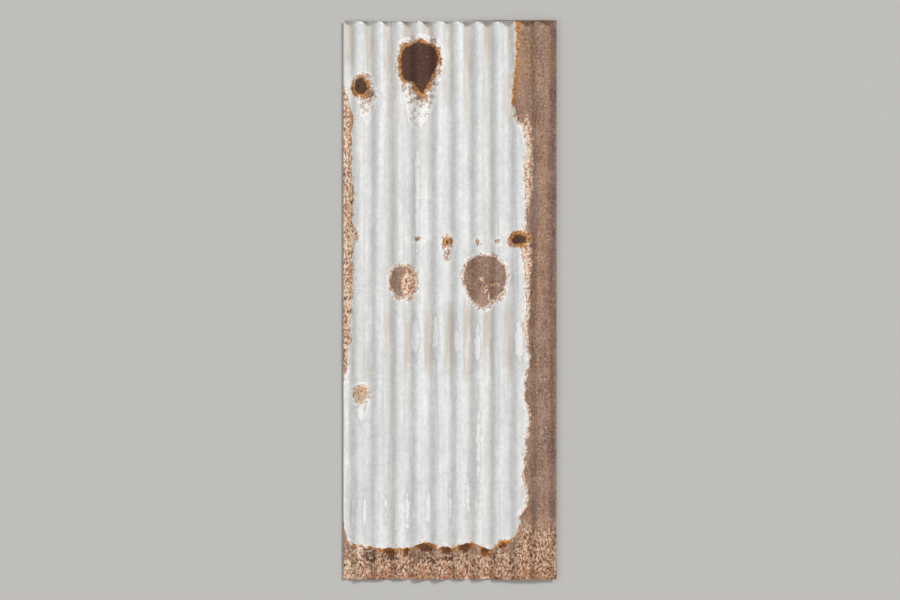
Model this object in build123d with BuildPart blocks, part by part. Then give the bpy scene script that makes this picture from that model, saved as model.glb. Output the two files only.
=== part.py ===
from build123d import *
import os
from math import asin, atan2, hypot, sin, tan

os.makedirs("parts", exist_ok=True)

# An old sheet of corrugated galvanised iron, lying flat with its waves running along Y.
# The sheet is centred on X and Y, and its hollows rest on Z = 0.

# Stock sizes
wave_pitch = 76.2
overall_depth = 19.0
sheet_thickness = 0.6
sheet_width = 813.0
sheet_length = 2134.0
# how far the first crest stands in from the left edge, as a share of a wave
first_crest_share = 0.75
# roundness of the bends: at 1 they would meet with no straight slope between them
bend_fullness = 0.9

left_edge = -sheet_width / 2
right_edge = sheet_width / 2
bottom_end = -sheet_length / 2
first_crest = left_edge + first_crest_share * wave_pitch
crest_count = int((right_edge - first_crest) / wave_pitch) + 1

# Each slope touches the bend above it and the bend below it, which gives its angle.
wave_height = overall_depth - sheet_thickness
quarter_wave = wave_pitch / 4
bend_radius = bend_fullness * (quarter_wave**2 + (wave_height / 2) ** 2) / wave_height
bend_drop = bend_radius - wave_height / 2
slope_angle = asin(bend_radius / hypot(quarter_wave, bend_drop)) - atan2(bend_drop, quarter_wave)
# the slopes drawn on without bends would meet this far from mid height
corner_height = quarter_wave * tan(slope_angle)

# Places below are given as a wave number across the sheet, where 0 is the first crest, 0.5 the
# hollow after it and -1 the last crest, and as a share of the sheet's length from the bottom end.

# Nail holes
nail_hole_radius = 2.5
nail_row_crests = [-4, -3, -2]
nail_row_share = 0.605
lone_nails = [
    (0, 0.333),
    (0, 0.882),
    (3, 0.609),
    (3, 0.925),
    (2.5, 0.535),
    (4.5, 0.602),
    (-3.75, 0.537),
]

# Holes that rust has eaten through: wave, share of the length, half width, half length
rust_holes = [
    (-2.9, 0.059, 4.0, 6.5),
    (-3.1, 0.048, 3.0, 4.0),
    (-1.6, 0.076, 2.0, 3.0),
    (-0.95, 0.902, 2.5, 3.5),
    (-0.85, 0.886, 2.5, 3.0),
]

# The long bite out of the lower left side: share of the length, and how far in
side_bite = [
    (0.004, 0),
    (0.020, 18),
    (0.035, 31),
    (0.050, 34),
    (0.075, 25),
    (0.089, 24),
    (0.115, 34),
    (0.139, 32),
    (0.163, 28),
    (0.187, 20),
    (0.206, 13),
    (0.234, 10),
    (0.258, 0),
]

# Nibbles along the rest of that side: share of the length, half length, how far in
side_nibbles = [
    (0.305, 30, 5),
    (0.328, 16, 3),
    (0.518, 22, 4),
    (0.549, 26, 6),
    (0.585, 20, 4),
    (0.619, 15, 13),
    (0.632, 24, 6),
    (0.657, 18, 5),
    (0.709, 17, 12),
    (0.724, 22, 4),
    (0.761, 20, 5),
    (0.792, 26, 4),
    (0.843, 30, 6),
]

# Nibbles along the bottom end: share of the width, half width, how far in
end_nibbles = [
    (0.10, 20, 3),
    (0.17, 9, 2),
    (0.25, 26, 3),
    (0.37, 13, 4),
    (0.43, 8, 2),
    (0.53, 22, 3),
    (0.64, 16, 4),
    (0.72, 11, 3),
    (0.76, 15, 5),
    (0.88, 24, 4),
    (0.95, 10, 3),
]


def wave_x(wave):
    if wave < 0:
        wave = wave + crest_count
    return first_crest + wave * wave_pitch


def length_y(share):
    return bottom_end + share * sheet_length


def edge_step(edge_x):
    # the wall is cut off square, so its corner stands past its centre line by this much
    off_bend = (edge_x - first_crest) % (wave_pitch / 2)
    off_bend = min(off_bend, wave_pitch / 2 - off_bend)
    return sheet_thickness / 2 * min(off_bend / bend_radius, sin(slope_angle))


with BuildPart() as corrugated_sheet:
    # the rolled section, drawn a little too wide and then cut to the sheet's width
    with BuildSketch(Plane.XZ.offset(bottom_end)):
        with BuildLine():
            corners = []
            for wave in range(crest_count + 2):
                crest_x = first_crest + (wave - 1) * wave_pitch
                corners.append((crest_x, overall_depth / 2 + corner_height))
                corners.append((crest_x + wave_pitch / 2, overall_depth / 2 - corner_height))
            FilletPolyline(corners, radius=bend_radius)
            split(bisect_by=Plane.YZ.offset(left_edge + edge_step(left_edge)), keep=Keep.TOP)
            split(bisect_by=Plane.YZ.offset(right_edge - edge_step(right_edge)), keep=Keep.BOTTOM)
        trace(line_width=sheet_thickness)
    extrude(amount=sheet_length)

    # nail holes and holes eaten by rust
    with BuildSketch():
        with Locations([(wave_x(crest), length_y(nail_row_share)) for crest in nail_row_crests]):
            Circle(nail_hole_radius)
        with Locations([(wave_x(wave), length_y(share)) for wave, share in lone_nails]):
            Circle(nail_hole_radius)
        for wave, share, half_width, half_length in rust_holes:
            with Locations((wave_x(wave), length_y(share))):
                Ellipse(half_width, half_length)
    extrude(amount=overall_depth, mode=Mode.SUBTRACT)

    # the side and the end that rust has eaten
    with BuildSketch():
        with BuildLine():
            bite_points = [(left_edge + depth, length_y(share)) for share, depth in side_bite]
            bite_line = Spline(bite_points)
            Polyline(
                bite_line @ 1,
                (left_edge - sheet_thickness, bite_points[-1][1]),
                (left_edge - sheet_thickness, bite_points[0][1]),
                bite_line @ 0,
            )
        make_face()
        for share, half_length, depth in side_nibbles:
            with Locations((left_edge, length_y(share))):
                Ellipse(depth, half_length)
        for share, half_width, depth in end_nibbles:
            with Locations((left_edge + share * sheet_width, bottom_end)):
                Ellipse(half_width, depth)
    extrude(amount=overall_depth, mode=Mode.SUBTRACT)

corrugated_sheet.part.label = "corrugated_sheet"
export_step(corrugated_sheet.part, "parts/corrugated_sheet.step")

bounds = corrugated_sheet.part.bounding_box()
print("size", bounds.size.X, bounds.size.Y, bounds.size.Z)
print("low corner", bounds.min.X, bounds.min.Y, bounds.min.Z)
print("volume", corrugated_sheet.part.volume)
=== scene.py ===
import math

import bpy
import numpy as np
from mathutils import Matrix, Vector, noise
from mathutils.geometry import delaunay_2d_cdt


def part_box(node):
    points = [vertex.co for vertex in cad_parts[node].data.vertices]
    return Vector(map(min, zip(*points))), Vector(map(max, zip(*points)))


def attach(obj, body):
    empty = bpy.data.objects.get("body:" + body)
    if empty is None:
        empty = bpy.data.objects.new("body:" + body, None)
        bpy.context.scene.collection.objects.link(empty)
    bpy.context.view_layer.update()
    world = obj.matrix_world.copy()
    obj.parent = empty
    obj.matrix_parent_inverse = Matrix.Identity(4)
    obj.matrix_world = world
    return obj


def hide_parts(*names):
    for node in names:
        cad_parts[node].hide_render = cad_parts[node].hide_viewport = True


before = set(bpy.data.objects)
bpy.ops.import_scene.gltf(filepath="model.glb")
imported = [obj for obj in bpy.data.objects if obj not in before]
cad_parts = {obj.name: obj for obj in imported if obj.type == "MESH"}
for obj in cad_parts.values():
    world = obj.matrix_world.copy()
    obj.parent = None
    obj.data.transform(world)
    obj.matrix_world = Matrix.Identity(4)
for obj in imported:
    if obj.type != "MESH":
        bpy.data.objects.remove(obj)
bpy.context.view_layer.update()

sheetLow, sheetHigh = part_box("corrugated_sheet")


# Camera, floor and studio light
studio = {
    "lens": 90,
    "cameraHeight": 8.6,
    "floorSize": 40,
    "floorColour": (196, 194, 190),
    "floorRoughness": 0.9,
    "worldStrength": 0.47,
    "keyStrength": 2.1,
    "keyFrom": (0.58, 0.64, 0.62),
    "keySoftness": 14,  # degrees
    "fillStrength": 0.4,
    "fillFrom": (-0.8, -0.3, 0.8),
    "fillSoftness": 28,
    "lampDistance": 4,
}


def linear(red, green, blue):
    # 0 to 255 as a colour picker shows it, turned into Blender's linear colour by the sRGB curve
    def one(v):
        v = v / 255
        return v / 12.92 if v <= 0.04045 else ((v + 0.055) / 1.055) ** 2.4
    return (one(red), one(green), one(blue), 1.0)


def makeCamera():
    data = bpy.data.cameras.new("Camera")
    data.lens = studio["lens"]
    camera = bpy.data.objects.new("Camera", data)
    bpy.context.scene.collection.objects.link(camera)
    # the photo looks square on to the sheet, so this looks straight down with the sheet's top up
    centre = (sheetLow + sheetHigh) / 2
    camera.location = (centre.x, centre.y, studio["cameraHeight"])
    camera.rotation_euler = (0, 0, 0)
    bpy.context.scene.camera = camera


def softLight(name, comesFrom, strength, softness):
    data = bpy.data.lights.new(name, "SUN")
    data.energy = strength
    data.angle = math.radians(softness)
    lamp = bpy.data.objects.new(name, data)
    bpy.context.scene.collection.objects.link(lamp)
    lamp.location = Vector(comesFrom) * studio["lampDistance"]
    lamp.rotation_euler = (-Vector(comesFrom)).to_track_quat("-Z", "Y").to_euler()


def makeFloor():
    bpy.ops.mesh.primitive_plane_add(size=studio["floorSize"], location=(0, 0, 0))
    floor = bpy.context.object
    floor.name = "Floor"
    paint = bpy.data.materials.new("Floor")
    paint.use_nodes = True
    shader = paint.node_tree.nodes["Principled BSDF"]
    shader.inputs["Base Color"].default_value = linear(*studio["floorColour"])
    shader.inputs["Roughness"].default_value = studio["floorRoughness"]
    floor.data.materials.append(paint)


def makeStudio():
    makeCamera()
    softLight("Key", studio["keyFrom"], studio["keyStrength"], studio["keySoftness"])
    softLight("Fill", studio["fillFrom"], studio["fillStrength"], studio["fillSoftness"])

    world = bpy.data.worlds.new("Studio")
    world.use_nodes = True
    background = world.node_tree.nodes["Background"]
    background.inputs["Color"].default_value = (1, 1, 1, 1)
    background.inputs["Strength"].default_value = studio["worldStrength"]
    bpy.context.scene.world = world
    bpy.context.scene.view_settings.view_transform = "Standard"
    makeFloor()


makeStudio()
print("studio made")


# The sheet. Sizes are metres. Places are (x, y) from its lower left corner, y up the sheet.
sheet = {
    "wavePitch": 0.0762,
    "thickness": 0.0006,
    "firstCrestShare": 0.75,  # of a wave, in from the left edge
    "bendFullness": 0.9,
    # plain points, and how close two may come
    "stepsPerWave": 18,
    "rowSpacing": 0.0098,
    "lastColumnGap": 0.4,  # in steps, from the right edge
    "mergeDistance": 1e-7,
    # ragged side and end
    "edgeSpacing": 0.0022,
    "cornerGap": 0.004,
    "lowLeftCorner": (0.0015, 0.001),
    "lowRightWear": 0.0008,
    "edgeRoughness": 0.0021,
    "raggedBase": 0.35,
    "fineScale": 140,
    "fineFractal": (0.9, 2.2, 4),  # fall-off, lacunarity, octaves
    "coarseScale": 31,
    "coarseShare": 0.6,
    "endSeeds": (3.1, 10.1),
    "sideSeeds": (8.4, 15.4),
    "soundFrom": 0.97,  # share of the length, where the side turns sound
    "soundTurn": 12,
    "soundRoughness": 0.12,
    # holes: how ragged, how many points, the step from one seed to the next
    "nailHoleRadius": 0.0025,
    "nailHoleEdge": (0.12, 14, 3.7),
    "nailKeepOff": 0.0165,
    "rustHoleEdge": (0.45, 18, 5.3),
    "rustKeepOff": 0.003,
    "holeNoiseScale": 1.3,
    # dimples at the nail holes
    "nailDimple": 0.0014,
    "dimpleReach": 0.0085,
    "offCrestDimple": 0.25,  # share of it, where the hole isn't on a crest
    # slight bow: scale across and along, and seed
    "bow": 0.0007,
    "bowNoise": (2.1, 1.3, 4.0),
    "rippleNoise": (9, 5, 9.0),
    "rippleShare": 0.35,
    "bowSink": 0.5,
    "hollowBow": 0.05,
    # crumple of the rusted side and end
    "edgeCurl": 0.0042,
    "curlReach": 0.024,
    "curlFall": 1.5,
    "curlNoise": (26, 26, 2.0),
    "curlBase": 0.45,
    "curlSwing": 1.3,
    "curlBack": -0.2,
    "curledSide": 0.9,  # share of the length that the side's crumple goes up
    "curledEnd": 0.1,
    # crease in the right patch
    "creaseDepth": 0.0042,
    "creaseReach": 0.0036,
    "creaseSpacing": 0.0018,
    "creaseZoneReaches": 2.5,  # how far out it has close points
}

# Nail holes, by wave across (0 is the first crest, 0.5 the hollow after it) and share of the length
nailHoles = [
    (6, 0.605), (7, 0.605), (8, 0.605), (0, 0.333), (0, 0.882), (3, 0.609), (3, 0.925),
    (2.5, 0.535), (4.5, 0.602), (6.25, 0.537),
]
# Holes eaten by rust: wave, share of the length, half width, half length
rustHoles = [
    (7.1, 0.059, 0.0040, 0.0065), (6.9, 0.048, 0.0030, 0.0040), (8.4, 0.076, 0.0020, 0.0030),
    (9.05, 0.902, 0.0025, 0.0035), (9.15, 0.886, 0.0025, 0.0030),
]
# Rings of points round each nail hole: radius, how many points
nailRings = [(0.0037, 14), (0.0056, 16), (0.0085, 18), (0.0125, 20)]
# A crease across the crest in the right patch, from one end to the other
crease = [(0.556, 1.133), (0.598, 1.122)]
# The long bite out of the lower left side: share of the length, and how far in
sideBite = [
    (0.004, 0.000), (0.020, 0.018), (0.035, 0.031), (0.050, 0.034), (0.075, 0.025),
    (0.089, 0.024), (0.115, 0.034), (0.139, 0.032), (0.163, 0.028), (0.187, 0.020),
    (0.206, 0.013), (0.234, 0.010), (0.258, 0.000),
]
# Nibbles up the left side: share of the length, half length, how far in
sideNibbles = [
    (0.305, 0.030, 0.005), (0.328, 0.016, 0.003), (0.518, 0.022, 0.004), (0.549, 0.026, 0.006),
    (0.585, 0.020, 0.004), (0.619, 0.015, 0.013), (0.632, 0.024, 0.006), (0.657, 0.018, 0.005),
    (0.709, 0.017, 0.012), (0.724, 0.022, 0.004), (0.761, 0.020, 0.005), (0.792, 0.026, 0.004),
    (0.843, 0.030, 0.006),
]
# Nibbles along the bottom end: share of the width, half width, how far in
endNibbles = [
    (0.10, 0.020, 0.003), (0.17, 0.009, 0.002), (0.25, 0.026, 0.003), (0.37, 0.013, 0.004),
    (0.43, 0.008, 0.002), (0.53, 0.022, 0.003), (0.64, 0.016, 0.004), (0.72, 0.011, 0.003),
    (0.76, 0.015, 0.005), (0.88, 0.024, 0.004), (0.95, 0.010, 0.003),
]

width = sheetHigh.x - sheetLow.x
length = sheetHigh.y - sheetLow.y
depth = sheetHigh.z - sheetLow.z
firstCrest = sheet["firstCrestShare"] * sheet["wavePitch"]
creaseZone = sheet["creaseReach"] * sheet["creaseZoneReaches"]

# the same tangent arcs and slopes as the rolled section
quarterWave = sheet["wavePitch"] / 4
waveHeight = depth - sheet["thickness"]
bendRadius = sheet["bendFullness"] * (quarterWave ** 2 + (waveHeight / 2) ** 2) / waveHeight
bendDrop = bendRadius - waveHeight / 2
centreAngle = math.atan2(bendDrop, quarterWave)
slopeAngle = math.asin(bendRadius / math.hypot(quarterWave, bendDrop)) - centreAngle


def section(x):
    # height and slope of the wall's middle, for places across the sheet
    halfWave = sheet["wavePitch"] / 2
    fromCrest = (x - firstCrest + halfWave) % sheet["wavePitch"] - halfWave
    across = np.abs(fromCrest)
    reach = bendRadius * math.sin(slopeAngle)
    middle = depth / 2
    onCrest = np.clip(across, 0, reach)
    onHollow = np.clip(halfWave - across, 0, reach)
    crestHeight = middle - bendDrop + np.sqrt(bendRadius ** 2 - onCrest ** 2)
    hollowHeight = middle + bendDrop - np.sqrt(bendRadius ** 2 - onHollow ** 2)
    slopeHeight = middle + (quarterWave - across) * math.tan(slopeAngle)
    height = np.where(across < reach, crestHeight,
                      np.where(halfWave - across < reach, hollowHeight, slopeHeight))
    steep = np.minimum(np.minimum(onCrest, onHollow) / bendRadius, math.sin(slopeAngle))
    angle = -np.sign(fromCrest) * np.arcsin(steep)
    return height, angle


def smoothThrough(points, at):
    # a smooth line through the points, level at both ends
    xs = np.array([p[0] for p in points], float)
    ys = np.array([p[1] for p in points], float)
    slopes = np.gradient(ys, xs)
    slopes[0] = slopes[-1] = 0
    i = np.clip(np.searchsorted(xs, at) - 1, 0, len(xs) - 2)
    gap = xs[i + 1] - xs[i]
    t = np.clip((at - xs[i]) / gap, 0, 1)
    return ((2 * t ** 3 - 3 * t ** 2 + 1) * ys[i] + (t ** 3 - 2 * t ** 2 + t) * gap * slopes[i]
            + (3 * t ** 2 - 2 * t ** 3) * ys[i + 1] + (t ** 3 - t ** 2) * gap * slopes[i + 1])


def nibbled(at, nibbles, span):
    eaten = np.zeros_like(at)
    for share, halfSize, deep in nibbles:
        off = (at - share * span) / halfSize
        eaten = np.maximum(eaten, deep * np.sqrt(np.clip(1 - off ** 2, 0, 1)))
    return eaten


def noiseAt(x, y, scaleX, scaleY, seed):
    return np.array([noise.noise(Vector((a * scaleX, b * scaleY, seed))) for a, b in zip(x, y)])


def roughness(at, fineSeed, coarseSeed):
    # the finest raggedness, only ever inwards
    scale, fractal = sheet["fineScale"], sheet["fineFractal"]
    fine = np.array([noise.fractal(Vector((v * scale, fineSeed, 0)), *fractal) for v in at])
    coarse = np.array([noise.noise(Vector((v * sheet["coarseScale"], coarseSeed, 0))) for v in at])
    ragged = sheet["raggedBase"] + fine + sheet["coarseShare"] * coarse
    return sheet["edgeRoughness"] * np.clip(ragged, 0, 2)


def outline():
    # anticlockwise from the lower left corner
    step, gap = sheet["edgeSpacing"], sheet["cornerGap"]
    xs = np.arange(gap, width - gap / 2, step)
    bottom = nibbled(xs, endNibbles, width) + roughness(xs, *sheet["endSeeds"])
    ys = np.arange(length - gap, gap * 3 / 4, -step)
    shares = ys / length
    bite = np.where(shares < sideBite[-1][0], smoothThrough(sideBite, shares), 0)
    # the upper end is the sound one, so the fine raggedness fades out there
    fade = np.clip((sheet["soundFrom"] - shares) * sheet["soundTurn"], sheet["soundRoughness"], 1)
    nibbles = nibbled(ys, sideNibbles, length)
    side = np.maximum(bite, nibbles) + roughness(ys, *sheet["sideSeeds"]) * fade
    loop = [sheet["lowLeftCorner"]]
    loop += list(zip(xs, bottom))
    loop += [(width, sheet["lowRightWear"]), (width, length), (0, length)]
    loop += list(zip(side, ys))
    return loop


def ragHole(x, y, halfWidth, halfLength, seed, ragged, count):
    ring = []
    scale = sheet["holeNoiseScale"]
    for k in range(count):
        turn = 2 * math.pi * k / count
        size = 1 + ragged * noise.noise(Vector((math.cos(turn) * scale, math.sin(turn) * scale, seed)))
        ring.append((x + halfWidth * size * math.cos(turn), y + halfLength * size * math.sin(turn)))
    return ring


def evenRing(x, y, radius, count, turned):
    # a ring of points, turned by half a step or not
    turns = [2 * math.pi * (k + turned / 2) / count for k in range(count)]
    return [(x + radius * math.cos(turn), y + radius * math.sin(turn)) for turn in turns]


def waveX(wave):
    return firstCrest + wave * sheet["wavePitch"]


def creaseAway(x, y):
    # distance from the crease
    (ax, ay), (bx, by) = crease
    dx, dy = bx - ax, by - ay
    t = np.clip(((x - ax) * dx + (y - ay) * dy) / (dx * dx + dy * dy), 0, 1)
    return np.hypot(x - ax - t * dx, y - ay - t * dy)


def creasePoints():
    # close rows of points all round the crease
    step = sheet["creaseSpacing"]
    xs = np.arange(crease[0][0] - creaseZone, crease[1][0] + creaseZone, step)
    ys = np.arange(crease[1][1] - creaseZone, crease[0][1] + creaseZone, step)
    x, y = [v.ravel() for v in np.meshgrid(xs, ys)]
    near = creaseAway(x, y) < creaseZone
    return list(zip(x[near], y[near]))


def edgeDistance(x, y, loop):
    # distance to a closed line, more than 0 inside it
    nearest = np.full(x.shape, np.inf)
    within = np.zeros(x.shape, bool)
    for (ax, ay), (bx, by) in zip(loop, np.roll(loop, -1, axis=0)):
        dx, dy = bx - ax, by - ay
        t = np.clip(((x - ax) * dx + (y - ay) * dy) / (dx * dx + dy * dy), 0, 1)
        nearest = np.minimum(nearest, (x - ax - t * dx) ** 2 + (y - ay - t * dy) ** 2)
        if ay != by:
            crosses = (ay > y) != (by > y)
            within ^= crosses & (x < ax + (y - ay) * dx / (by - ay))
    return np.where(within, 1, -1) * np.sqrt(nearest)


def layOutPoints():
    loops = [outline()]
    keepOff = []
    close = []
    ragged, count, seedStep = sheet["nailHoleEdge"]
    for k, (wave, share) in enumerate(nailHoles):
        x, y, radius = waveX(wave), share * length, sheet["nailHoleRadius"]
        loops.append(ragHole(x, y, radius, radius, k * seedStep, ragged, count))
        keepOff.append((x, y, sheet["nailKeepOff"]))
        # every other ring is turned, from the first
        for ring, (size, ringCount) in enumerate(nailRings):
            close += evenRing(x, y, size, ringCount, (ring + 1) % 2)
    ragged, count, seedStep = sheet["rustHoleEdge"]
    for k, (wave, share, halfWidth, halfLength) in enumerate(rustHoles):
        x, y = waveX(wave), share * length
        loops.append(ragHole(x, y, halfWidth, halfLength, k * seedStep + 1, ragged, count))
        keepOff.append((x, y, max(halfWidth, halfLength) + sheet["rustKeepOff"]))
    close += creasePoints()

    # rows and columns of plain points, the columns following the waves
    across = sheet["wavePitch"] / sheet["stepsPerWave"]
    first = firstCrest - math.floor(firstCrest / across) * across
    xs = np.arange(first, width - across * sheet["lastColumnGap"], across)
    rows = int(length / sheet["rowSpacing"])
    ys = (np.arange(rows) + 0.5) * length / rows
    gridX, gridY = [v.ravel() for v in np.meshgrid(xs, ys)]
    inside = edgeDistance(gridX, gridY, np.array(loops[0])) > sheet["edgeSpacing"]
    for x, y, r in keepOff:
        inside &= (gridX - x) ** 2 + (gridY - y) ** 2 > r ** 2
    inside &= creaseAway(gridX, gridY) > creaseZone + sheet["creaseSpacing"]
    return loops, list(zip(gridX[inside], gridY[inside])) + close


def triangulate():
    loops, points = layOutPoints()
    flat = list(points)
    edges = []
    for loop in loops:
        start = len(flat)
        flat += loop
        edges += [(start + k, start + (k + 1) % len(loop)) for k in range(len(loop))]
    insideOnly = 1  # the kind of result: nothing outside the outline
    places = [Vector(p) for p in flat]
    found = delaunay_2d_cdt(places, edges, [], insideOnly, sheet["mergeDistance"], False)
    xy = np.array([tuple(p) for p in found[0]])
    triangles = np.array(found[2])
    # the triangles that fill a hole come out again
    middle = xy[triangles].mean(axis=1)
    keep = np.ones(len(triangles), bool)
    for loop in loops[1:]:
        keep &= edgeDistance(middle[:, 0], middle[:, 1], np.array(loop)) < 0
    return xy, triangles[keep], np.array(loops[0])


def bend(x, y):
    # how far the wall's middle stands off the true section: a slight bow, and a dimple at each hole
    height, _ = section(x)
    bow = noiseAt(x, y, *sheet["bowNoise"]) - sheet["bowSink"]
    ripple = sheet["rippleShare"] * noiseAt(x, y, *sheet["rippleNoise"])
    # the hollows stay down on the floor
    off = sheet["bow"] * (bow + ripple) * np.clip(height / depth, sheet["hollowBow"], 1)
    for wave, share in nailHoles:
        away = np.hypot(x - waveX(wave), y - share * length)
        onCrest = wave == int(wave)
        deep = sheet["nailDimple"] if onCrest else sheet["nailDimple"] * sheet["offCrestDimple"]
        off = off - deep * np.exp(-(away / sheet["dimpleReach"]) ** 2)
    # the crease is sharp along its line and shallow towards its ends
    along = (x - crease[0][0]) / (crease[1][0] - crease[0][0])
    share = np.clip(4 * along * (1 - along), 0, 1) ** 0.5
    return off - sheet["creaseDepth"] * share * np.exp(-creaseAway(x, y) / sheet["creaseReach"])


def curl(x, y, height, ragged):
    # the rusted left side and bottom end are thin, so they crumple a little towards mid height
    sideTop, endTop = sheet["curledSide"] * length, sheet["curledEnd"] * length
    rusted = np.clip((sideTop - y) / endTop, 0, 1) * (x < width / 2) + (y < endTop)
    near = np.clip(1 - edgeDistance(x, y, ragged) / sheet["curlReach"], 0, 1) ** sheet["curlFall"]
    swing = sheet["curlBase"] + sheet["curlSwing"] * noiseAt(x, y, *sheet["curlNoise"])
    crumple = np.clip(swing, sheet["curlBack"], 1)
    toMiddle = depth / 2 - height
    reach = near * np.clip(rusted, 0, 1) * crumple * sheet["edgeCurl"]
    return np.sign(toMiddle) * np.minimum(reach, abs(toMiddle))


def sharpen(mesh, free, count):
    rimEdges = {tuple(sorted(e)) for e in free.tolist()}
    rimEdges |= {(a + count, b + count) for a, b in rimEdges}
    for edge in mesh.edges:
        if tuple(sorted(edge.vertices)) in rimEdges:
            edge.use_edge_sharp = True


def buildSheet():
    xy, triangles, ragged = triangulate()
    x, y = xy[:, 0], xy[:, 1]
    height, angle = section(x)
    height = height + curl(x, y, height, ragged)
    height = np.maximum(height + bend(x, y), sheet["thickness"] / 2)
    half = sheet["thickness"] / 2
    stepX, stepZ = -np.sin(angle) * half, np.cos(angle) * half
    upper = np.c_[x + stepX, y, height + stepZ]
    lower = np.c_[x - stepX, y, np.maximum(height - stepZ, 0)]
    places = np.r_[upper, lower] + np.array([sheetLow.x, sheetLow.y, sheetLow.z])
    count = len(xy)

    # the rim joins both skins along every free edge
    ways = np.r_[triangles[:, [0, 1]], triangles[:, [1, 2]], triangles[:, [2, 0]]]
    edges = np.sort(ways, axis=1)
    _, index, times = np.unique(edges, axis=0, return_index=True, return_counts=True)
    free = ways[index[times == 1]]
    rim = np.c_[free[:, 1], free[:, 0], free[:, 0] + count, free[:, 1] + count]

    mesh = bpy.data.meshes.new("CorrugatedSheet")
    faces = triangles.tolist() + (triangles[:, ::-1] + count).tolist() + rim.tolist()
    mesh.from_pydata(places.tolist(), [], faces)
    mesh.validate()
    mesh.polygons.foreach_set("use_smooth", [True] * len(mesh.polygons))
    mesh.update()
    sharpen(mesh, free, count)
    sheetObject = bpy.data.objects.new("CorrugatedSheet", mesh)
    bpy.context.scene.collection.objects.link(sheetObject)
    print("sheet mesh:", len(mesh.vertices), "points,",
          sum(len(p.vertices) - 2 for p in mesh.polygons), "triangles")
    return sheetObject, x, y


sheetObject, pointX, pointY = buildSheet()
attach(sheetObject, "root")
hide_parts("corrugated_sheet")


# Rust, as outlines on the sheet in metres from its lower left corner
rustZones = {
    # the long strip down the right side and the band along the bottom, in one outline
    "sideAndEnd": [
        (0.660, 2.600), (0.658, 1.996), (0.648, 1.881), (0.642, 1.825), (0.653, 1.760), (0.683, 1.728),
        (0.697, 1.672), (0.699, 1.649), (0.690, 1.580), (0.696, 1.450), (0.690, 1.348), (0.676, 1.264),
        (0.693, 1.186), (0.699, 1.028), (0.683, 0.977), (0.709, 0.838), (0.693, 0.755), (0.688, 0.699),
        (0.711, 0.620), (0.699, 0.556), (0.693, 0.470), (0.683, 0.398), (0.701, 0.315), (0.692, 0.269),
        (0.667, 0.245), (0.669, 0.204), (0.662, 0.176), (0.637, 0.148), (0.598, 0.148), (0.577, 0.125),
        (0.559, 0.113), (0.513, 0.134), (0.485, 0.141), (0.449, 0.134), (0.414, 0.120), (0.371, 0.127),
        (0.315, 0.144), (0.273, 0.130), (0.256, 0.120), (0.141, 0.120), (0.076, 0.127), (0.037, 0.137),
        (0.010, 0.150), (-0.400, 0.150), (-0.400, -0.400), (1.200, -0.400), (1.200, 2.600),
    ],
    "leftStrip": [
        (-0.40, 1.880), (0.004, 1.880), (0.019, 1.825), (0.039, 1.756), (0.030, 1.718), (0.031, 1.705),
        (0.031, 1.533), (0.039, 1.496), (0.037, 1.431), (0.032, 1.362), (0.045, 1.336), (0.059, 1.313),
        (0.042, 1.278), (0.034, 1.241), (0.036, 1.177), (0.035, 1.084), (0.032, 1.033), (0.023, 0.954),
        (0.032, 0.917), (0.013, 0.871), (0.014, 0.838), (0.007, 0.783), (-0.002, 0.755), (-0.40, 0.750),
    ],
}
# Round patches of rust about nail holes, with a cleaner edge
rustDiscs = {
    "left": [
        (0.172, 1.140), (0.180, 1.172), (0.200, 1.196), (0.228, 1.202), (0.256, 1.194), (0.278, 1.168),
        (0.287, 1.138), (0.280, 1.104), (0.258, 1.080), (0.228, 1.073), (0.198, 1.082), (0.178, 1.108),
    ],
    "right": [
        (0.454, 1.172), (0.472, 1.218), (0.514, 1.241), (0.574, 1.237), (0.616, 1.204), (0.630, 1.158),
        (0.616, 1.107), (0.588, 1.070), (0.556, 1.042), (0.528, 1.035), (0.496, 1.056), (0.468, 1.098),
        (0.454, 1.135),
    ],
    "lowerLeft": [
        (0.041, 0.722), (0.052, 0.740), (0.070, 0.745), (0.088, 0.737), (0.097, 0.718), (0.095, 0.700),
        (0.084, 0.686), (0.072, 0.672), (0.060, 0.669), (0.048, 0.678), (0.041, 0.698),
    ],
}
# The dark middle of the patch at the top, with a ring of rust round it. Its dark brown is partly
# painted shade, darker than the same rust elsewhere
darkPatchAndShade = [
    (0.219, 1.996), (0.221, 1.930), (0.234, 1.906), (0.270, 1.898), (0.276, 1.880), (0.289, 1.864),
    (0.303, 1.857), (0.315, 1.880), (0.333, 1.915), (0.350, 1.950), (0.362, 1.975), (0.360, 2.010),
    (0.335, 2.040), (0.290, 2.052), (0.236, 2.036),
]
# Dark middles and rust at nail holes, as ovals: place, half width, half length. The middles' dark brown
# is partly painted shade, darker than the same rust elsewhere
darkCoresAndShade = [
    ((0.066, 1.882), 0.024, 0.030),
    ((0.672, 1.299), 0.026, 0.018),
    ((0.657, 1.291), 0.015, 0.012),
    ((0.397, 1.287), 0.0055, 0.0075),
]
rustSpots = [
    ((0.084, 1.858), 0.030, 0.030),
    ((0.399, 1.285), 0.016, 0.015),
    ((0.655, 1.282), 0.020, 0.016),
    ((0.291, 1.842), 0.015, 0.024),
    ((0.399, 1.256), 0.006, 0.020),
    ((0.282, 1.299), 0.013, 0.006),
    ((0.514, 1.286), 0.009, 0.011),
    ((0.591, 1.291), 0.010, 0.009),
]
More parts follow.
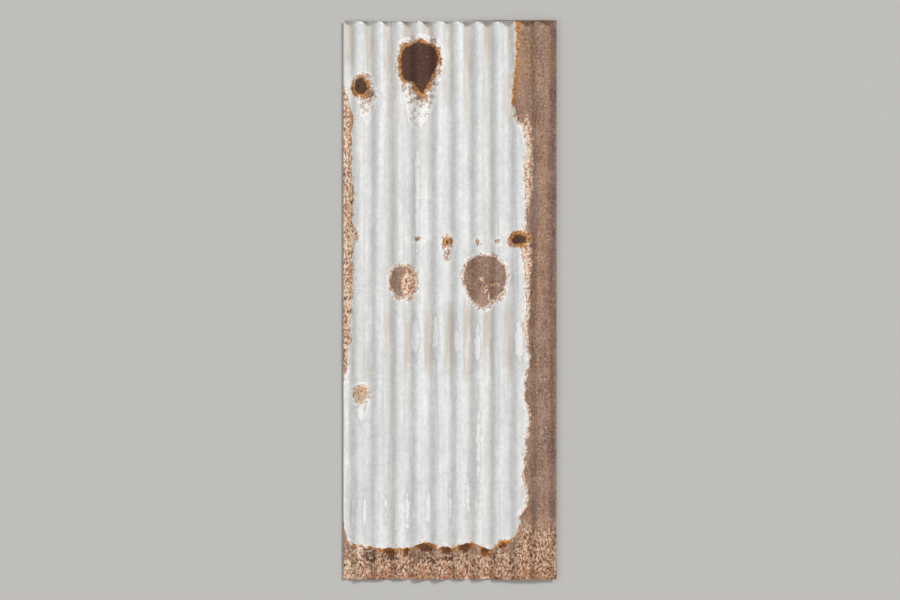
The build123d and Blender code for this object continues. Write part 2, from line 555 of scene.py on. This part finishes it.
# Where the rust is orange and cream, not yet brown. Three small cream ovals are partly a painted
# highlight: one on the crease's lower lip and two at nails
freshRustAndHighlight = [
    ((0.256, 1.128), 0.036, 0.062),
    ((0.590, 1.056), 0.034, 0.026),
    # partly orange rust, partly a painted highlight on the crease's lower lip
    ((0.582, 1.126), 0.015, 0.006),
    # partly cream rust, partly a painted highlight at the nail
    ((0.530, 1.146), 0.010, 0.012),
    ((0.543, 1.106), 0.007, 0.014),
    ((0.555, 1.072), 0.005, 0.013),
    ((0.700, 1.590), 0.024, 0.170),
    ((0.698, 1.220), 0.021, 0.120),
    ((0.698, 1.060), 0.013, 0.100),
    ((0.694, 0.935), 0.011, 0.105),
    ((0.004, 1.640), 0.016, 0.070),
    ((0.040, 1.300), 0.018, 0.050),
    ((0.058, 0.104), 0.020, 0.026),
    ((0.020, 0.030), 0.035, 0.030),
    # partly cream rust, partly a painted highlight at the nail in the middle
    ((0.068, 0.716), 0.009, 0.010),
]
# Dark patches in the hollows under the border along the bottom end: partly dark rust, partly painted
# shade of a thin shadow line across the rust
clotsAndShadeLine = [
    ((0.168, 0.106), 0.022, 0.013),
    ((0.240, 0.108), 0.013, 0.020),
    ((0.311, 0.121), 0.027, 0.018),
    ((0.393, 0.112), 0.020, 0.020),
    ((0.465, 0.121), 0.027, 0.019),
    ((0.540, 0.110), 0.018, 0.021),
    ((0.612, 0.134), 0.015, 0.010),
]
# Where the same rust is only dark flecks
fleckedRust = [
    ((0.098, 0.096), 0.040, 0.032),
    ((0.170, 0.094), 0.034, 0.026),
    ((0.300, 0.094), 0.050, 0.026),
    ((0.400, 0.086), 0.030, 0.022),
]
# Pale halos round nail holes, where the zinc has gone chalky
paleHalos = {
    "upperLeft": [
        (0.042, 1.932), (0.079, 1.941), (0.111, 1.932), (0.125, 1.881), (0.132, 1.844), (0.118, 1.788),
        (0.093, 1.730), (0.065, 1.774), (0.051, 1.820), (0.037, 1.867),
    ],
    "top": [
        (0.195, 1.996), (0.199, 1.927), (0.222, 1.867), (0.240, 1.800), (0.252, 1.735), (0.287, 1.715),
        (0.312, 1.748), (0.340, 1.790), (0.362, 1.867), (0.375, 1.927), (0.384, 1.996), (0.370, 2.060),
        (0.290, 2.085), (0.212, 2.060),
    ],
    "lowerLeft": [
        (0.030, 0.730), (0.050, 0.752), (0.085, 0.752), (0.104, 0.725), (0.102, 0.680), (0.090, 0.640),
        (0.074, 0.606), (0.058, 0.640), (0.036, 0.680),
    ],
    "nail": [
        (0.368, 1.300), (0.384, 1.322), (0.408, 1.322), (0.426, 1.300), (0.424, 1.268), (0.414, 1.226),
        (0.398, 1.196), (0.388, 1.226), (0.372, 1.262),
    ],
    "smallNail": [
        (0.264, 1.297), (0.266, 1.308), (0.274, 1.316), (0.284, 1.318), (0.294, 1.313), (0.300, 1.303),
        (0.298, 1.294), (0.282, 1.291),
    ],
    "leftDisc": [
        (0.166, 1.150), (0.176, 1.190), (0.204, 1.210), (0.250, 1.211), (0.284, 1.182), (0.295, 1.140),
        (0.288, 1.096), (0.264, 1.064), (0.230, 1.052), (0.192, 1.066), (0.170, 1.104),
    ],
    "rightDisc": [
        (0.444, 1.180), (0.466, 1.226), (0.512, 1.251), (0.578, 1.246), (0.624, 1.210), (0.640, 1.158),
        (0.625, 1.100), (0.598, 1.056), (0.560, 1.026), (0.524, 1.018), (0.484, 1.042), (0.456, 1.092),
    ],
}
# White crystals along some crests: wave, share of the length, half width, half length
whiteBloom = [
    (2.85, 0.432, 0.016, 0.080), (3.85, 0.436, 0.011, 0.085), (4.9, 0.428, 0.009, 0.070),
    (5.95, 0.420, 0.012, 0.075), (8.05, 0.425, 0.018, 0.080), (2.95, 0.690, 0.010, 0.200),
    (6.0, 0.250, 0.008, 0.160), (3.0, 0.865, 0.007, 0.050), (0.1, 0.300, 0.012, 0.050),
    (0.3, 0.118, 0.006, 0.060), (1.35, 0.130, 0.005, 0.055), (2.45, 0.122, 0.009, 0.075),
    (3.5, 0.128, 0.011, 0.070), (4.6, 0.135, 0.007, 0.060), (5.5, 0.150, 0.008, 0.075),
]
# How thick a film of dirt lies in the hollows, by the distance up the sheet
filmStretch = [
    (0.74, 0.3), (0.82, 1.0), (1.00, 1.0), (1.08, 0.3), (1.72, 0.3), (1.80, 0.7), (1.97, 1.0),
]


# The sheet's paint: colours as a colour picker shows them, and the finish, with lengths in metres
sheetPaint = {
    "zinc": (238, 239, 238),
    "zincDull": (217, 219, 219),
    "zincBright": (245, 246, 245),
    "zincDark": (188, 191, 195),
    "zincWarm": (219, 213, 205),
    "film": (203, 189, 172),
    "chalk": (247, 246, 243),
    "chalkGrey": (212, 206, 202),
    "tan": (178, 136, 100),
    "mauve": (137, 105, 89),
    "mauveLight": (170, 138, 120),
    "pink": (205, 176, 158),
    "sand": (213, 182, 154),
    "brown": (94, 64, 50),
    "clay": (198, 151, 116),
    "blush": (228, 198, 172),
    "bronze": (140, 82, 34),
    "umber": (100, 57, 29),
    "slate": (152, 133, 124),
    "cream": (245, 228, 207),
    "orange": (211, 142, 80),
    "amber": (214, 146, 58),
    "deepOrange": (172, 96, 44),
    "copper": (176, 112, 72),
    # redBrown is also the darkest tone of the dark patches under the border, which are partly painted
    # shade
    "redBrown": (70, 40, 24),
    "ring": (204, 142, 68),
    # dark brown of the middles, partly painted shade
    "dark": (80, 53, 41),
    "darkFleck": (114, 82, 66),
    "ringWidth": 0.013,
    "discCrispness": 1.9,
    "farthest": 0.2,  # how far from a shape its mask still tells the distance
    "coreShrink": 0.006,  # dark middles are smaller on the underside
    "filmBeneath": 0.3,  # share of the dirt that the underside has
    "zincMetal": 0.18,
    "zincRoughness": (0.59, 0.79),  # smoothest and roughest
    "rustRoughness": 0.9,
    "crystalScale": 95,
    "noiseRoughness": 0.65,
    "scaleHeight": 0.0024,
    "fineScaleShare": 0.5,
    "skinHeight": 0.0003,
    "bumpStrength": 0.6,
}


def spotDistance(x, y, place, halfWidth, halfLength):
    # roughly the distance inside an oval
    off = np.hypot((x - place[0]) / halfWidth, (y - place[1]) / halfLength)
    return (1 - off) * min(halfWidth, halfLength)


def deepest(x, y, loops=(), ovals=()):
    # how far each point lies inside the nearest of these shapes
    best = np.full(x.shape, -sheetPaint["farthest"])
    for loop in loops:
        best = np.maximum(best, edgeDistance(x, y, np.array(loop)))
    for place, halfWidth, halfLength in ovals:
        best = np.maximum(best, spotDistance(x, y, place, halfWidth, halfLength))
    return np.minimum(best, sheetPaint["farthest"])


def paintMasks():
    x, y = pointX, pointY
    cores = deepest(x, y, [darkPatchAndShade], darkCoresAndShade)
    discs = deepest(x, y, rustDiscs.values())
    rust = deepest(x, y, rustZones.values(), rustSpots)
    rust = np.maximum(rust, cores + sheetPaint["ringWidth"])
    rust = np.maximum(rust, discs * sheetPaint["discCrispness"])
    freshAndHighlight = deepest(x, y, ovals=freshRustAndHighlight)
    clotShade = deepest(x, y, ovals=clotsAndShadeLine)
    flecks = deepest(x, y, ovals=fleckedRust)
    halos = deepest(x, y, paleHalos.values())
    crystals = [((waveX(wave), share * length), *size) for wave, share, *size in whiteBloom]
    bloom = deepest(x, y, ovals=crystals)
    film = np.interp(y, *zip(*filmStretch))
    height = section(x)[0] / depth
    nowhere = np.full(x.shape, -sheetPaint["farthest"])
    # above and beneath: rust comes through, while chalk, bloom and most dirt stay on top
    masks = {
        "rustDepth": (rust, rust),
        "coreShadeDepth": (cores, cores - sheetPaint["coreShrink"]),
        "discDepth": (discs, discs),
        "freshHighlightDepth": (freshAndHighlight, freshAndHighlight),
        "clotShadeDepth": (clotShade, clotShade),
        "fleckDepth": (flecks, flecks),
        "haloDepth": (halos, nowhere),
        "bloomDepth": (bloom, nowhere),
        "film": (film, film * sheetPaint["filmBeneath"]),
        "waveHeight": (height, height),
    }
    for name, (upper, lower) in masks.items():
        layer = sheetObject.data.attributes.new(name, "FLOAT", "POINT")
        layer.data.foreach_set("value", np.r_[upper, lower].astype(np.float32))


paintMasks()
print("rust, chalk and dirt masked out")


# How a pattern is drawn out: its scale across, along and up the sheet
drawnOut = {
    "even": (1, 1, 1),
    "streaks": (1, 0.03, 0.3),
    "runs": (1, 0.05, 0.4),
    "smears": (1, 0.12, 0.3),
    "veins": (1, 0.14, 0.5),
    "clouds": (1, 0.3, 0.3),
    "crystals": (1, 0.55, 1),
    "scales": (1, 0.7, 1),
    "flecks": (1, 0.8, 1),
}
# Kinds of noise: scale, detail, how it is drawn out
noises = {
    "broad": (6, 4, "even"),
    "drift": (12, 4, "even"),
    "stretch": (15, 4, "even"),
    "patch": (30, 4, "even"),
    "lump": (42, 4, "even"),
    "mottle": (60, 4, "even"),
    "clump": (75, 4, "even"),
    "speck": (105, 4, "even"),
    "grain": (120, 4, "even"),
    "dot": (150, 4, "even"),
    "nick": (170, 4, "even"),
    "fine": (330, 4, "even"),
    "fleck": (330, 3, "even"),
    "broadStreak": (11, 2, "streaks"),
    "brightStreak": (24, 3, "streaks"),
    "darkStreak": (46, 2, "streaks"),
    "dullStreak": (62, 3, "streaks"),
    "hairStreak": (230, 3, "streaks"),
    "tanRun": (34, 3, "runs"),
    "slateRun": (46, 3, "runs"),
    "smear": (26, 4, "smears"),
    "vein": (60, 4, "veins"),
    "cloud": (15, 4, "clouds"),
    "crystal": (230, 3, "crystals"),
    "scale": (115, 3, "scales"),
    "darkFleck": (130, 3, "flecks"),
}
# How an edge is roughened: kinds of noise, and how far in metres each moves it
roughEdges = {
    "rust": [("lump", 0.023), ("grain", 0.007), ("fine", 0.004)],
    "halo": [("lump", 0.024), ("grain", 0.006)],
    "bloom": [("lump", 0.030)],
    "freshAndHighlight": [("lump", 0.030), ("grain", 0.016)],
    "clotAndShade": [("patch", 0.030), ("clump", 0.030), ("nick", 0.014)],
    "fleck": [("patch", 0.040)],
    "core": [("mottle", 0.020), ("nick", 0.006)],
    "lowBand": [("drift", 0.09)],
}
# Layers over the plain zinc, from broad to fine: noise, where it starts and is full, strength, colour
zincLayers = [
    ("broad", 0.38, 0.66, 0.70, "zincDull"),
    ("broadStreak", 0.46, 0.62, 0.65, "zincWarm"),
    ("darkStreak", 0.56, 0.66, 0.60, "zincDark"),
    ("brightStreak", 0.44, 0.64, 0.85, "zincBright"),
    ("dullStreak", 0.52, 0.66, 0.60, "zincDull"),
    ("hairStreak", 0.50, 0.68, 0.50, "zincDull"),
    ("cloud", 0.49, 0.62, 0.55, "zincDull"),
    ("patch", 0.49, 0.58, 0.38, "zincDull"),
    ("grain", 0.50, 0.60, 0.30, "zincBright"),
]
# The same over the plain rust, and the flecks over every kind of rust
rustLayers = [
    ("drift", 0.38, 0.64, 1.00, "mauveLight"),
    ("tanRun", 0.50, 0.58, 0.60, "tan"),
    ("slateRun", 0.50, 0.58, 0.50, "slate"),
    ("vein", 0.52, 0.66, 0.35, "brown"),
    ("grain", 0.54, 0.66, 0.70, "pink"),
    ("grain", 0.45, 0.35, 0.75, "brown"),
]
fleckLayers = [
    ("fleck", 0.55, 0.66, 0.50, "brown"),
    ("fleck", 0.44, 0.34, 0.50, "pink"),
]
# Patches: noise, where it starts and is full, and its values there if they aren't 0 and 1
patches = {
    "film": ("smear", 0.34, 0.62),
    "chalk": ("patch", 0.40, 0.56),
    "haloGrey": ("mottle", 0.44, 0.60),
    "drips": ("darkStreak", 0.42, 0.62, -0.04, 0.06),
    "crystals": ("crystal", 0.46, 0.56, 0.60, 1.0),
    "pits": ("fleck", 0.68, 0.74, 0, 0.6),
    "sand": ("grain", 0.42, 0.56, 0.50, 0.90),
    "fringe": ("patch", 0.40, 0.64, 0.0015, 0.011),
    "youngBrown": ("fleck", 0.58, 0.64, 0, 0.7),
    "border": ("lump", 0.44, 0.56),
    "borderUmber": ("speck", 0.46, 0.58),
    "amberLine": ("lump", 0.42, 0.60, 0, 0.009),
    "amberSide": ("stretch", 0.44, 0.54),
    "amberOrange": ("speck", 0.44, 0.60),
    "clotShadeUmber": ("speck", 0.50, 0.60),
    "clotShadeBronze": ("mottle", 0.52, 0.60, 0, 0.9),
    "ring": ("lump", 0.38, 0.62, 0.004, 0.020),
    "ringOrange": ("speck", 0.48, 0.60),
    "ringUmber": ("clump", 0.48, 0.60, 0, 0.85),
    "ringSand": ("fleck", 0.42, 0.56),
    "coreFleck": ("grain", 0.52, 0.66),
    "satin": ("patch", 0.35, 0.65, *sheetPaint["zincRoughness"]),
}
# Where a look starts and where it is full, and its values there if they aren't 0 and 1
fades = {
    # metres inside an edge
    "rust": (-0.0004, 0.0009),
    "chalkRim": (-0.024, -0.003),
    "halo": (-0.0008, 0.0012),
    "haloLine": (0.0055, 0.0030),
    "dotted": (-0.020, 0.0, 0, 0.12),
    "stained": (-0.060, -0.002),
    "bloomShade": (-0.0060, -0.0010, 0, 0.42),
    "bloom": (0.0, 0.004),
    "disc": (-0.012, -0.006),
    "freshAndHighlight": (-0.003, 0.003),
    "fringe": (0.002, -0.002),
    "older": (0.002, 0.024, 0, 0.06),
    "border": (0.0034, 0.0016),
    "clotShadeLine": (-0.014, 0.0, 0, 0.012),
    "amberLine": (0.0015, -0.0015),
    "flecked": (-0.006, 0.012, 0, 0.13),
    "clotShadeBorder": (0.005, 0.001),
    "clotAndShade": (-0.0015, 0.0015, 0, 0.95),
    "ring": (-0.001, 0.002, 0, 0.92),
    "ringOutside": (0.0065, 0.001),
    "core": (-0.002, 0.003),
    # metres from the left edge
    "leftSide": (0.066, 0.050),
    "smallPatch": (0.14, 0.12),
    "rightHalf": (0.58, 0.60),
    "rightCorner": (0.64, 0.70, 0, -0.10),
    # metres up from the bottom end
    "lowBand": (0.16, 0.06),
    "lowest": (0.07, 0.0, 0, 0.14),
    "amberLow": (0.30, 0.22),
    "leftSideFoot": (0.745, 0.765),
    "amberSide": (1.15, 1.25),
    "amberTop": (1.79, 1.83),
    # shares of the depth
    "hollow": (0.72, 0.22),
    # values of noise
    "crystalFace": (0.35, 0.75, 0, 0.22),
    "dots": (0.66, 0.71, 0, 0.8),
    "stain": (0.48, 0.60),
    "lowClay": (0.41, 0.48),
    "lowBlush": (0.50, 0.56, 0, 0.95),
    "lowCream": (0.56, 0.62),
    "lowCopper": (0.54, 0.70, 0, 0.60),
    "youngPink": (0.52, 0.57),
    "youngOrange": (0.57, 0.61),
    "youngDeep": (0.63, 0.67),
    "darkFlecks": (0.60, 0.65),
}
# How strongly a look covers what is under it
amounts = {
    "film": 0.75,
    "chalkRim": 0.85,
    "halo": 0.9,
    "stain": 0.75,
    "crystals": 0.95,
    "lowRust": 0.9,
    "youngRustAndHighlight": 0.92,
    "border": 0.8,
    "amberLine": 0.9,
    "darkFlecks": 0.9,
    "ringSand": 0.75,
    # and how much a place adds to the pattern or to the width of the line there
    "coarseAtSide": 0.028,
    "creamAtEnd": 0.6,
    "fringeInDiscs": 0.004,
    "amberAtSide": 0.002,
    "amberAtTop": 0.009,
    "flecksLow": 0.03,
    "flecksAtSide": -0.035,
}


class Nodes:
    # short ways to add nodes to one material
    def __init__(self, material):
        material.use_nodes = True
        self.tree = material.node_tree
        self.shader = self.tree.nodes["Principled BSDF"]
        self.places = {}
        self.noises = {}
        axes = self.tree.nodes.new("ShaderNodeSeparateXYZ")
        self.plug(axes.inputs[0], self.place("even"))
        # metres from the left edge, and up from the bottom end
        self.across = self.calc("SUBTRACT", axes.outputs["X"], sheetLow.x)
        self.up = self.calc("SUBTRACT", axes.outputs["Y"], sheetLow.y)

    def plug(self, socket, value):
        if isinstance(value, bpy.types.NodeSocket):
            self.tree.links.new(value, socket)
        elif isinstance(value, str):
            socket.default_value = linear(*sheetPaint[value])
        elif value is not None:
            socket.default_value = value

    def mask(self, name):
        node = self.tree.nodes.new("ShaderNodeAttribute")
        node.attribute_name = name
        return node.outputs["Fac"]

    def place(self, shape):
        if shape not in self.places:
            coords = self.tree.nodes.new("ShaderNodeTexCoord")
            mapping = self.tree.nodes.new("ShaderNodeMapping")
            self.plug(mapping.inputs["Vector"], coords.outputs["Object"])
            self.plug(mapping.inputs["Scale"], drawnOut[shape])
            self.places[shape] = mapping.outputs["Vector"]
        return self.places[shape]

    def noise(self, kind):
        # each kind is made only once
        if kind not in self.noises:
            scale, detail, shape = noises[kind]
            node = self.tree.nodes.new("ShaderNodeTexNoise")
            self.plug(node.inputs["Vector"], self.place(shape))
            self.plug(node.inputs["Scale"], scale)
            self.plug(node.inputs["Detail"], detail)
            self.plug(node.inputs["Roughness"], sheetPaint["noiseRoughness"])
            self.noises[kind] = node.outputs["Fac"]
        return self.noises[kind]

    def cells(self, scale):
        node = self.tree.nodes.new("ShaderNodeTexVoronoi")
        self.plug(node.inputs["Vector"], self.place("even"))
        self.plug(node.inputs["Scale"], scale)
        return node.outputs["Color"]

    def calc(self, kind, a, b, c=None):
        node = self.tree.nodes.new("ShaderNodeMath")
        node.operation = kind
        for socket, value in zip(node.inputs, (a, b, c)):
            self.plug(socket, value)
        return node.outputs[0]

    def times(self, *values):
        total = values[0]
        for value in values[1:]:
            total = self.calc("MULTIPLY", total, value)
        return total

    def plus(self, value, extra, share=1.0):
        # value, with a share of the extra on top
        return self.calc("MULTIPLY_ADD", extra, share, value)

    def most(self, *values):
        total = values[0]
        for value in values[1:]:
            total = self.calc("MAXIMUM", total, value)
        return total

    def fade(self, value, low, high, first=0.0, last=1.0):
        # goes smoothly from first to last as value goes from low to high
        node = self.tree.nodes.new("ShaderNodeMapRange")
        node.interpolation_type = "SMOOTHSTEP"
        self.plug(node.inputs["Value"], value)
        self.plug(node.inputs["From Min"], low)
        self.plug(node.inputs["From Max"], high)
        self.plug(node.inputs["To Min"], first)
        self.plug(node.inputs["To Max"], last)
        return node.outputs["Result"]

    def rise(self, value, name):
        return self.fade(value, *fades[name])

    def patch(self, name):
        kind, *ends = patches[name]
        return self.fade(self.noise(kind), *ends)

    def roughened(self, value, name):
        # a distance to an edge, which noise moves in and out
        for kind, reach in roughEdges[name]:
            swing = self.calc("SUBTRACT", self.noise(kind), 0.5)
            value = self.plus(value, swing, reach)
        return value

    def mix(self, amount, a, b):
        node = self.tree.nodes.new("ShaderNodeMix")
        node.data_type = "RGBA"
        # inputs 6 and 7 and output 2 are this node's colour sockets
        self.plug(node.inputs[0], amount)
        self.plug(node.inputs[6], a)
        self.plug(node.inputs[7], b)
        return node.outputs[2]

    def layered(self, colour, layers):
        for kind, low, high, strength, name in layers:
            colour = self.mix(self.fade(self.noise(kind), low, high, 0, strength), colour, name)
        return colour


def zincColour(n, edge):
    colour = n.layered("zinc", zincLayers)
    colour = n.mix(n.rise(n.cells(sheetPaint["crystalScale"]), "crystalFace"), colour, "zincDark")
    # a film of dirt in the hollows, with ragged edges
    film = n.times(n.rise(n.mask("waveHeight"), "hollow"), n.patch("film"), n.mask("film"))
    colour = n.mix(n.times(film, amounts["film"]), colour, "film")
    # the zinc goes chalky beside the rust and round the nail holes
    chalkRim = n.times(n.rise(edge, "chalkRim"), n.patch("chalk"), amounts["chalkRim"])
    colour = n.mix(chalkRim, colour, "chalk")
    halo = n.roughened(n.mask("haloDepth"), "halo")
    inHalo = n.rise(halo, "halo")
    mottle = n.mix(n.patch("haloGrey"), "chalk", "chalkGrey")
    colour = n.mix(n.times(inHalo, amounts["halo"]), colour, mottle)
    colour = n.mix(n.times(inHalo, n.rise(halo, "haloLine")), colour, "chalk")
    # brown dots and stains that thicken towards the rust
    dots = n.plus(n.noise("dot"), n.rise(edge, "dotted"))
    colour = n.mix(n.rise(dots, "dots"), colour, "tan")
    drips = n.plus(n.noise("mottle"), n.patch("drips"))
    stain = n.times(inHalo, n.rise(edge, "stained"), n.rise(drips, "stain"))
    colour = n.mix(n.times(stain, amounts["stain"]), colour, "tan")
    # white crystals along the crests, with a greyer rim
    bloom = n.roughened(n.mask("bloomDepth"), "bloom")
    colour = n.mix(n.rise(bloom, "bloomShade"), colour, "zincDark")
    crystals = n.times(n.rise(bloom, "bloom"), n.patch("crystals"), amounts["crystals"])
    colour = n.mix(crystals, colour, "chalk")
    return n.mix(n.patch("pits"), colour, "film")


def lowRust(n, up, leftSide):
    # paler, redder and coarser
    coarse = n.plus(n.noise("scale"), leftSide, amounts["coarseAtSide"])
    colour = n.mix(n.rise(coarse, "lowClay"), "umber", "clay")
    colour = n.mix(n.rise(coarse, "lowBlush"), colour, "blush")
    pale = n.times(n.rise(coarse, "lowCream"), n.most(leftSide, amounts["creamAtEnd"]))
    colour = n.mix(pale, colour, "cream")
    coppery = n.plus(n.noise("lump"), n.rise(up, "lowest"))
    return n.mix(n.rise(coppery, "lowCopper"), colour, "copper")


def youngRustAndHighlight(n, edge):
    # cream nearest the zinc, and more orange farther in
    older = n.plus(n.noise("speck"), n.rise(edge, "older"))
    colour = n.mix(n.rise(older, "youngPink"), "cream", "pink")
    colour = n.mix(n.rise(older, "youngOrange"), colour, "orange")
    colour = n.mix(n.rise(older, "youngDeep"), colour, "deepOrange")
    return n.mix(n.patch("youngBrown"), colour, "brown")


def clotAndShadeColour(n, clotAndShade):
    # colour of the dark patches under the border: partly dark rust, partly painted shade
    colour = n.mix(n.patch("clotShadeUmber"), "redBrown", "umber")
    colour = n.mix(n.patch("clotShadeBronze"), colour, "bronze")
    return n.mix(n.rise(clotAndShade, "clotShadeBorder"), colour, "bronze")


def ringRust(n, nearCore):
    colour = n.mix(n.patch("ringOrange"), "ring", "deepOrange")
    colour = n.mix(n.patch("ringUmber"), colour, "umber")
    outside = n.times(n.rise(nearCore, "ringOutside"), n.patch("ringSand"), amounts["ringSand"])
    return n.mix(outside, colour, "sand")


def rustColour(n, edge):
    up = n.roughened(n.up, "lowBand")
    leftSide = n.times(n.rise(n.across, "leftSide"), n.rise(n.up, "leftSideFoot"))
    lowBand = n.rise(n.plus(up, n.rise(n.across, "rightCorner")), "lowBand")
    lowEnd = n.most(lowBand, leftSide)
    inDisc = n.rise(n.mask("discDepth"), "disc")

    colour = n.layered("mauve", rustLayers)
    colour = n.mix(n.times(lowEnd, amounts["lowRust"]), colour, lowRust(n, up, leftSide))
    colour = n.layered(colour, fleckLayers)
    # the small patch near the left side is paler than the others
    small = n.times(n.rise(n.across, "smallPatch"), inDisc)
    colour = n.mix(n.times(small, n.patch("sand")), colour, "sand")

    # orange and cream where the zinc has only just gone, with a painted cream highlight on the crease's
    # lip and at two nails
    freshAndHighlight = n.rise(n.roughened(n.mask("freshHighlightDepth"), "freshAndHighlight"), "freshAndHighlight")
    wide = n.plus(n.patch("fringe"), inDisc, amounts["fringeInDiscs"])
    fringe = n.rise(n.calc("SUBTRACT", edge, wide), "fringe")
    young = n.times(n.most(freshAndHighlight, fringe), amounts["youngRustAndHighlight"])
    colour = n.mix(young, colour, youngRustAndHighlight(n, edge))

    # a thin brown line right along the border
    line = n.times(n.rise(edge, "border"), n.patch("border"), amounts["border"])
    colour = n.mix(line, colour, n.mix(n.patch("borderUmber"), "deepOrange", "umber"))

    # an amber line along the lower border, up the left side and at the top
    clotAndShade = n.roughened(n.mask("clotShadeDepth"), "clotAndShade")
    atTop = n.times(n.rise(up, "amberTop"), n.rise(n.across, "rightHalf"))
    atSide = n.times(leftSide, n.rise(up, "amberSide"), n.patch("amberSide"))
    wide = n.plus(n.patch("amberLine"), n.rise(clotAndShade, "clotShadeLine"))
    wide = n.plus(wide, atSide, amounts["amberAtSide"])
    wide = n.plus(wide, atTop, amounts["amberAtTop"])
    line = n.rise(n.calc("SUBTRACT", edge, wide), "amberLine")
    line = n.times(line, n.most(n.rise(up, "amberLow"), atTop, atSide), amounts["amberLine"])
    colour = n.mix(line, colour, n.mix(n.patch("amberOrange"), "amber", "deepOrange"))

    # dark flecks low down, and the dark patches under the border, partly rust and partly painted shade
    flecked = n.rise(n.roughened(n.mask("fleckDepth"), "fleck"), "flecked")
    flecked = n.plus(flecked, lowEnd, amounts["flecksLow"])
    flecked = n.plus(flecked, leftSide, amounts["flecksAtSide"])
    darkFlecks = n.rise(n.plus(n.noise("darkFleck"), flecked), "darkFlecks")
    colour = n.mix(n.times(darkFlecks, lowEnd, amounts["darkFlecks"]), colour, "redBrown")
    colour = n.mix(n.rise(clotAndShade, "clotAndShade"), colour, clotAndShadeColour(n, clotAndShade))

    # dark middles, each with an ochre ring; the middles' dark brown is partly painted shade
    core = n.roughened(n.mask("coreShadeDepth"), "core")
    nearCore = n.plus(core, n.patch("ring"))
    colour = n.mix(n.rise(nearCore, "ring"), colour, ringRust(n, nearCore))
    dark = n.mix(n.patch("coreFleck"), "dark", "darkFleck")
    return n.mix(n.rise(core, "core"), colour, dark)


def makeSheetMaterial():
    material = bpy.data.materials.new("RustyZinc")
    n = Nodes(material)
    edge = n.roughened(n.mask("rustDepth"), "rust")
    isRust = n.rise(edge, "rust")
    n.plug(n.shader.inputs["Base Color"], n.mix(isRust, zincColour(n, edge), rustColour(n, edge)))
    rough = n.fade(isRust, 0, 1, n.patch("satin"), sheetPaint["rustRoughness"])
    n.plug(n.shader.inputs["Roughness"], rough)
    n.plug(n.shader.inputs["Metallic"], n.fade(isRust, 0, 1, sheetPaint["zincMetal"], 0.0))

    # rust stands up in scales, and the zinc is almost smooth
    scales = n.plus(n.noise("clump"), n.noise("fine"), sheetPaint["fineScaleShare"])
    scales = n.times(scales, isRust, sheetPaint["scaleHeight"])
    bump = n.tree.nodes.new("ShaderNodeBump")
    n.plug(bump.inputs["Height"], n.plus(scales, n.noise("dot"), sheetPaint["skinHeight"]))
    bump.inputs["Strength"].default_value = sheetPaint["bumpStrength"]
    bump.inputs["Distance"].default_value = 1.0
    n.plug(n.shader.inputs["Normal"], bump.outputs["Normal"])
    return material


sheetObject.data.materials.append(makeSheetMaterial())
print("material made")
